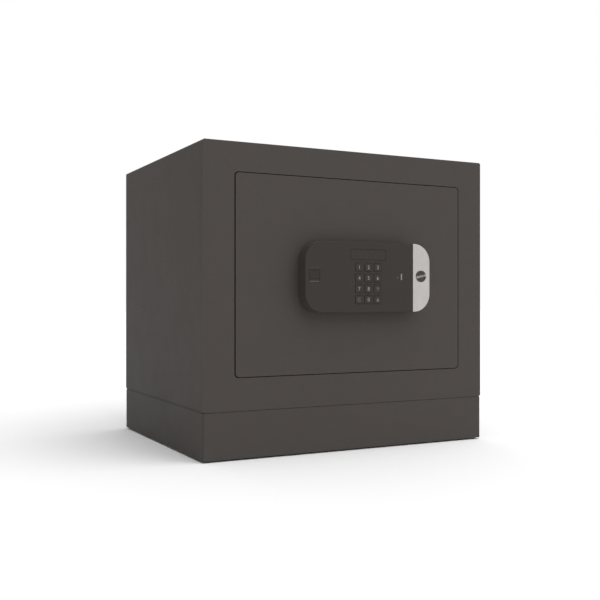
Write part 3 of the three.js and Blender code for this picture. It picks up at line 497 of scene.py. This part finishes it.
def rounded_box(x0, x1, z0, z1, radius, steps=6):
    """The outline of a rectangle with round corners."""
    corners = (
        (x1 - radius, z1 - radius),
        (x0 + radius, z1 - radius),
        (x0 + radius, z0 + radius),
        (x1 - radius, z0 + radius),
    )
    points = []
    for quarter, (x, z) in enumerate(corners):
        for step in range(steps + 1):
            turn = math.pi / 2 * (quarter + step / steps)
            points.append((x + radius * math.cos(turn), z + radius * math.sin(turn)))
    return points


def turned_outline(points, middle, turn):
    cos, sin = math.cos(turn), math.sin(turn)
    return [(middle[0] + u * cos - v * sin, middle[1] + u * sin + v * cos) for u, v in points]


# ---- Finer copies of the CAD pieces ----
FINISH_OF = {
    "service_window": "service_lens",
    "status_bar": "status_light",
    "hinge_pin_top": "oiled_steel",
    "hinge_pin_bottom": "oiled_steel",
}
KEYS = ["1", "2", "3", "4", "5", "6", "7", "8", "9", "clear", "0", "lock"]
WINDOWS = ["display_window", "service_window", "lock_indicator", "status_bar"]
WINDOWS += ["key_" + key for key in KEYS]
EDGE = {
    "body_shell": 0.25,
    "plinth": 0.25,
    "door_plate": 0.3,
    "back_plate": 0.3,
    "panel_shell": 0.5,
    "end_cap": 0.45,
    "inner_cover": 0.4,
    "floor_mat": 0.6,
    "bolt_lower": 0.0,
    "bolt_upper": 0.0,
    "display_window": 0.1,
    "service_window": 0.1,
    "drive_pinion": 0.1,
    **{node: 0.15 for node in ("lock_indicator", "status_bar", "key_mat", "bolt_carriage")},
    **{"key_" + key: 0.12 for key in KEYS},
}
PLAIN_EDGE = 0.25


def refine(node, mesh=None):
    """Stands a finer copy in for a CAD node."""
    if mesh is None:
        windows = [extent(name) for name in WINDOWS] if node == "panel_shell" else ()
        mesh = softened(nodes[node].data, EDGE.get(node, PLAIN_EDGE), windows)
    finish = FINISH_OF.get(node, SLOT_OF[node])
    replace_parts(put(node + "_look", mesh, BODY_OF[node], finish), node)


def cover_screw(node):
    """A pan-head screw with a cross recess and a ringed thread, pointing at the door's front."""
    low, high = extent(node)
    middle = ((low.x + high.x) / 2, (low.z + high.z) / 2)
    head, head_high, rim, skirt, dome_steps = (high.x - low.x) / 2, 1.7, 0.3, 0.5, 5
    top, under, tip = high.y, high.y - head_high, low.y
    pitch, ridge, core, blunt, taper = 0.7, 1.48, 1.2, 0.5, 1.2
    thread_start, thread_end = tip + 1.4, under - 1
    profile = [(0, tip), (blunt, tip), (core, tip + taper)]
    along = thread_start
    while along < thread_end:
        profile += [(core, along), (ridge, along + pitch / 2)]
        along += pitch
    profile += [(core, along), (core, under), (head - rim, under), (head, under + rim)]
    dome = top - under - skirt
    for step in range(1, dome_steps):
        turn = math.pi / 2 * step / dome_steps
        profile.append((head * math.cos(turn), under + skirt + dome * math.sin(turn)))
    profile.append((0, top))
    arm, half, deep, apart = 2.0, 0.42, 1.1, 0.7  # apart: from one screw's turn to the next's
    cross = [(half, half), (half, arm), (-half, arm), (-half, half), (-arm, half), (-arm, -half)]
    cross += [(-u, -v) for u, v in cross]
    outline = turned_outline(cross, middle, int(node[-1]) * apart)
    recess = Shape().prism(outline, top - deep, top + CUT_PAST)
    refine(node, carved(Shape().lathe(profile, middle).mesh(node), recess))


def back_plate(node):
    """The back sheet, with a row of shallow spot-weld dimples near each edge."""
    low, high = extent(node)
    inset, radius, slope, deep, proud = 9, 3, 0.5, 0.5, 0.05
    columns, rows = 7, 6
    wide, tall = high.x - low.x - 2 * inset, high.z - low.z - 2 * inset
    across = [low.x + inset + n * wide / (columns - 1) for n in range(columns)]
    upward = [low.z + inset + n * tall / (rows - 1) for n in range(1, rows - 1)]
    spots = [(x, z) for x in across for z in (low.z + inset, high.z - inset)]
    spots += [(x, z) for z in upward for x in (low.x + inset, high.x - inset)]
    bowl = [(0, high.y - deep), (radius - slope, high.y - deep), (radius, high.y + proud)]
    dimples = Shape()
    for spot in spots:
        dimples.lathe([*bowl, (0, high.y + proud)], spot, steps=24)
    refine(node, carved(softened(nodes[node].data, EDGE[node]), dimples))


def foot_strip(node):
    """A rubber strip with grip grooves along its underside."""
    low, high = extent(node)
    count, half, deep, ends = 4, 1.2, 0.6, 6
    grooves = Shape()
    for n in range(1, count + 1):
        x = low.x + n * (high.x - low.x) / (count + 1)
        outline = [(x - half, low.z - deep), (x + half, low.z - deep), (x, low.z + deep)]
        grooves.prism(outline, low.y + ends, high.y - ends)
    refine(node, carved(softened(nodes[node].data, PLAIN_EDGE), grooves))


REMADE = {"back_plate": back_plate}
REMADE.update({f"cover_screw_{n}": cover_screw for n in range(1, 5)})
REMADE.update({f"foot_strip_{side}": foot_strip for side in ("left", "right")})
for node in nodes:
    REMADE.get(node, refine)(node)


# ---- Lock panel details ----
LEGEND_HEIGHT = 6
LEGEND_THICK = 0.03
LEGEND_WIDEN = 0.02  # how far each stroke is widened on either side
WORN_KEYS = ("9", "clear")


def legend(key, text):
    """A printed character in the middle of a key."""
    low, high = extent("key_" + key)
    name = "legend_" + key
    curve = bpy.data.curves.new(name, "FONT")
    curve.body = text
    curve.size = LEGEND_HEIGHT * MM
    curve.extrude = LEGEND_THICK * MM / 2
    curve.offset = LEGEND_WIDEN * MM
    holder = bpy.data.objects.new(name + "_text", curve)
    scene.collection.objects.link(holder)
    graph = bpy.context.evaluated_depsgraph_get()
    mesh = bpy.data.meshes.new_from_object(holder.evaluated_get(graph))
    bpy.data.objects.remove(holder)
    xs = [v.co.x for v in mesh.vertices]
    ys = [v.co.y for v in mesh.vertices]
    middle = Vector(((min(xs) + max(xs)) / 2, (min(ys) + max(ys)) / 2, 0))
    place = Vector(((low.x + high.x) / 2, low.y, (low.z + high.z) / 2)) * MM
    upright = Matrix.Rotation(math.pi / 2, 4, "X")
    mesh.transform(Matrix.Translation(place) @ upright @ Matrix.Translation(-middle))
    finish = "legend_dim" if key in WORN_KEYS else "legend"
    put(name, mesh, f"key_{key}_cap", finish)


def padlock():
    """The sign on the lock key: a small shut padlock."""
    low, high = extent("key_lock")
    x, z = (low.x + high.x) / 2, (low.z + high.z) / 2
    sunk = 0.1
    front, back = low.y - LEGEND_THICK / 2, low.y + sunk
    half, tall, rise, corner = 1.6, 2.2, 0.2, 0.3  # the padlock's body
    outer, inner, foot, bend, steps = 1.15, 0.65, 0.1, 0.7, 12  # its hoop
    sign = Shape()
    sign.prism(rounded_box(x - half, x + half, z - tall, z + rise, corner), front, back)
    turns = [math.pi * n / steps for n in range(steps + 1)]
    hoop = [(x + outer * math.cos(a), z + bend + outer * math.sin(a)) for a in turns]
    hoop += [(x - outer, z + foot), (x - inner, z + foot)]
    hoop += [(x - inner * math.cos(a), z + bend + inner * math.sin(a)) for a in turns]
    hoop += [(x + inner, z + foot), (x + outer, z + foot)]
    sign.prism(hoop, front, back)
    sign.put("legend_lock", "key_lock_cap", "legend_dim", "light_pipe")


def display_segments():
    """Six unlit seven-segment digits, barely visible in the smoked window."""
    low, high = extent("display_window")
    digits, wide, tall, thick, lean = 6, 4.4, 7.6, 0.9, 0.1
    gap, proud, sunk = 0.15, 0.02, 0.05  # gap: at each end of a bar, in thicknesses
    middle = (low.z + high.z) / 2
    bars = [(0, row * tall / 2, False) for row in (-1, 0, 1)]
    bars += [(side * wide / 2, row * tall / 4, True) for side in (-1, 1) for row in (-1, 1)]
    made = Shape()
    for digit in range(digits):
        start = low.x + (high.x - low.x) * (digit + 0.5) / digits
        for u, v, upright in bars:
            reach = (tall / 4 if upright else wide / 2) - thick * gap
            shoulder = reach - thick / 2
            bar = [
                (-reach, 0),
                (-shoulder, thick / 2),
                (shoulder, thick / 2),
                (reach, 0),
                (shoulder, -thick / 2),
                (-shoulder, -thick / 2),
            ]
            if upright:
                bar = [(b, a) for a, b in bar]
            outline = [(start + u + a + lean * (v + b), middle + v + b) for a, b in bar]
            made.prism(outline, low.y - proud, low.y + sunk)
    made.put("display_segments", "door", "ghost_segment", "smoked_lens")


def ready_dot():
    """The small dark dome to the left of the upright light."""
    light = centre("lock_indicator")
    middle = (light.x - 5.6, light.z - 0.8)
    radius, shoulder, sunk = 1.1, 0.7, 0.2
    dome = [(0, FACE - 0.25), (shoulder, FACE - 0.2), (radius, FACE - 0.03)]
    dome += [(radius, FACE + sunk), (0, FACE + sunk)]
    dot = Shape().lathe(dome, middle, steps=24)
    dot.put("ready_dot", "door", "status_light", "light_pipe")


def service_ridge():
    """The low ridge over the service window, coloured lighter than the panel as a painted
    highlight.
    """
    low, high = extent("service_window")
    inset, corner, proud, sunk = 1, 0.4, 0.15, 0.2
    bottom, top = high.z + 2.6, high.z + 3.5
    outline = rounded_box(low.x + inset, high.x - inset, bottom, top, corner, steps=3)
    ridge = Shape().prism(outline, FACE - proud, FACE + sunk)
    ridge.put("service_ridge", "door", "ridge_painted_highlight", "panel_plastic", bevel=0.08)


def keyway_shutter():
    """The spring shutter that closes the keyway while no key is in it."""
    gap, corner, depth, thick = 0.15, 0.3, 0.5, 0.8
    long, wide = (half - gap for half in KEYWAY)
    sheet = rounded_box(-long, long, -wide, wide, corner, steps=3)
    front = extent("lock_plug")[0].y + depth
    outline = turned_outline(sheet, (LOCK.x, LOCK.z), KEYWAY_TILT)
    shutter = Shape().prism(outline, front, front + thick)
    shutter.put("keyway_shutter", "key_plug", "shutter_steel", "bright_steel", bevel=0.15)


for key in KEYS:
    if key != "lock":
        legend(key, "C" if key == "clear" else key)
padlock()
display_segments()
ready_dot()
service_ridge()
keyway_shutter()


# ---- Door lining details ----
def cover_beads():
    """The two stiffening beads across the door's inner cover, above and below the hatch."""
    low, high = extent("inner_cover")
    clear, half, ends, inset, sunk, proud = 0.3, 3, 24, 36, 2.9, 1
    face = extent("battery_hatch")[0].y - clear  # the cover's face, which the hatch slides on
    beads = Shape()
    for z in (low.z + inset, high.z - inset):
        bead = rounded_box(low.x + ends, high.x - ends, z - half, z + half, half)
        beads.prism(bead, face - sunk, face + proud)
    beads.put("cover_beads", "door", "powder_coat", "powder_coat", bevel=0.8)


def hatch_arrow():
    """A raised arrow on the battery hatch that shows which way it slides."""
    corner = extent("battery_hatch")[1]
    x, z = corner.x - 12, corner.z - 10  # where the arrow's head meets its shaft
    tip, wing, tail, half, sunk, proud = 6, 4, 8, 1.5, 0.2, 0.3
    arrow = [(x + tip, z), (x, z + wing), (x, z + half), (x - tail, z + half)]
    arrow += [(u, 2 * z - v) for u, v in arrow[:0:-1]]
    raised = Shape().prism(arrow, corner.y - sunk, corner.y + proud)
    raised.put("hatch_arrow", "hatch", "inner_plastic", "inner_plastic", bevel=0.1)


cover_beads()
hatch_arrow()


# ---- Cabinet details ----
def plinth_lip():
    """The plinth's raised rim, just inside its walls, which closes the seam under the cabinet."""
    low, high = extent("plinth")
    outer, inner, tall, clear = 0.8, 1.45, 0.75, 0.03
    top = extent("body_shell")[0].z - clear

    def ring(inset, radius):
        return rounded_box(low.x + inset, high.x - inset, low.y + inset, high.y - inset, radius)

    rim = Shape().prism(ring(outer, 2), top - tall, top, "z").mesh("plinth_lip")
    hollow = Shape().prism(ring(inner, 1), top - tall - CUT_PAST, top + CUT_PAST, "z")
    put("plinth_lip", carved(rim, hollow), "cabinet", "powder_coat")
    # Under its side folds the cabinet curves up and away, so the rim is thicker and taller there.
    face, back, ends = 0.5, outer - 0.05, 3
    face_rise, back_rise = 0.8, 0.45
    section = [(face, -tall), (back, -tall), (back, back_rise), (face, face_rise)]
    sides = Shape()
    for edge, inward in ((low.x, 1), (high.x, -1)):
        outline = [(edge + inward * inset, top + rise) for inset, rise in section]
        sides.prism(outline, low.y + ends, high.y - ends)
    sides.put("plinth_lip_sides", "cabinet", "powder_coat", "powder_coat")


def back_welds():
    """The weld beads along the inside of the back sheet, where it meets the cabinet."""
    low, high = extent("back_plate")
    leg, clear, steps = 1.8, 0.02, 5
    gap = 0.27  # from the sheet's edge to the cabinet's inner face
    face = low.y - clear
    turns = [math.pi / 2 * n / steps for n in range(steps + 1)]
    bead = [(0, 0), *((leg * math.cos(turn), leg * math.sin(turn)) for turn in turns)]
    beads = Shape()
    for x, inward in ((low.x - gap, 1), (high.x + gap, -1)):
        section = [(x + inward * u, face - v) for u, v in bead]
        beads.prism(section, low.z - gap, high.z + gap, "z")
    for z, inward in ((low.z - gap, 1), (high.z + gap, -1)):
        section = [(face - v, z + inward * u) for u, v in bead]
        beads.prism(section, low.x - gap + leg, high.x + gap - leg, "x")
    beads.put("back_welds", "cabinet", "powder_coat", "powder_coat")


plinth_lip()
back_welds()


# ---- Stage, light and camera ----
FLOOR_HALF = 12  # metres
LEFT_LEVEL = 0.45  # the world's light from the left, as a part of its light from the right
SUN_STRENGTH = 1.35
SUN_ANGLE = math.radians(70)  # wide, so that its shadows are soft
SUN_DIRECTION = Vector((-0.2, 0.46, -0.86))
CAMERA = Vector((-528.74, FRONT - 893.3, 178.71))
YAW = math.radians(27.137)
LENS, SENSOR = 52.29, 36

floor_mesh = bpy.data.meshes.new("floor")
corners = [(-1, -1), (1, -1), (1, 1), (-1, 1)]
floor_mesh.from_pydata(
    [(x * FLOOR_HALF, y * FLOOR_HALF, 0) for x, y in corners], [], [(0, 1, 2, 3)]
)
floor = bpy.data.objects.new("floor", floor_mesh)
scene.collection.objects.link(floor)
pale = Finish("pale_floor", (0.95, 0.95, 0.95), 0.9, Specular_IOR_Level=0.1)
floor_mesh.materials.append(pale.material)


def studio_world():
    """White to look at, but lights less from the left, so that the safe's side doesn't glare."""
    world = bpy.data.worlds.new("studio")
    scene.world = world
    world.use_nodes = True
    tree = world.node_tree
    direction = tree.nodes.new("ShaderNodeTexCoord")
    split = tree.nodes.new("ShaderNodeSeparateXYZ")
    fade = tree.nodes.new("ShaderNodeMapRange")
    fade.interpolation_type = "SMOOTHSTEP"
    values = {"From Min": -0.5, "From Max": 0.1, "To Min": LEFT_LEVEL, "To Max": 1.0}
    for name, value in values.items():
        fade.inputs[name].default_value = value
    # The backdrop itself is full white all round.
    seen = tree.nodes.new("ShaderNodeLightPath")
    backdrop = tree.nodes.new("ShaderNodeMath")
    backdrop.operation = "MAXIMUM"
    tree.links.new(direction.outputs["Generated"], split.inputs[0])
    tree.links.new(split.outputs["X"], fade.inputs["Value"])
    tree.links.new(fade.outputs["Result"], backdrop.inputs[0])
    tree.links.new(seen.outputs["Is Camera Ray"], backdrop.inputs[1])
    tree.links.new(backdrop.outputs[0], tree.nodes["Background"].inputs["Color"])


studio_world()
sun = bpy.data.lights.new("overhead", "SUN")
sun.energy = SUN_STRENGTH
sun.angle = SUN_ANGLE
lamp = bpy.data.objects.new("overhead", sun)
lamp.rotation_euler = SUN_DIRECTION.to_track_quat("-Z", "Y").to_euler()
scene.collection.objects.link(lamp)

camera_data = bpy.data.cameras.new("camera")
camera_data.sensor_width = SENSOR
camera_data.lens = LENS
camera = bpy.data.objects.new("camera", camera_data)
camera.location = CAMERA * MM
camera.rotation_euler = (math.pi / 2, 0, -YAW)
scene.collection.objects.link(camera)
scene.camera = camera
scene.view_settings.view_transform = "Standard"
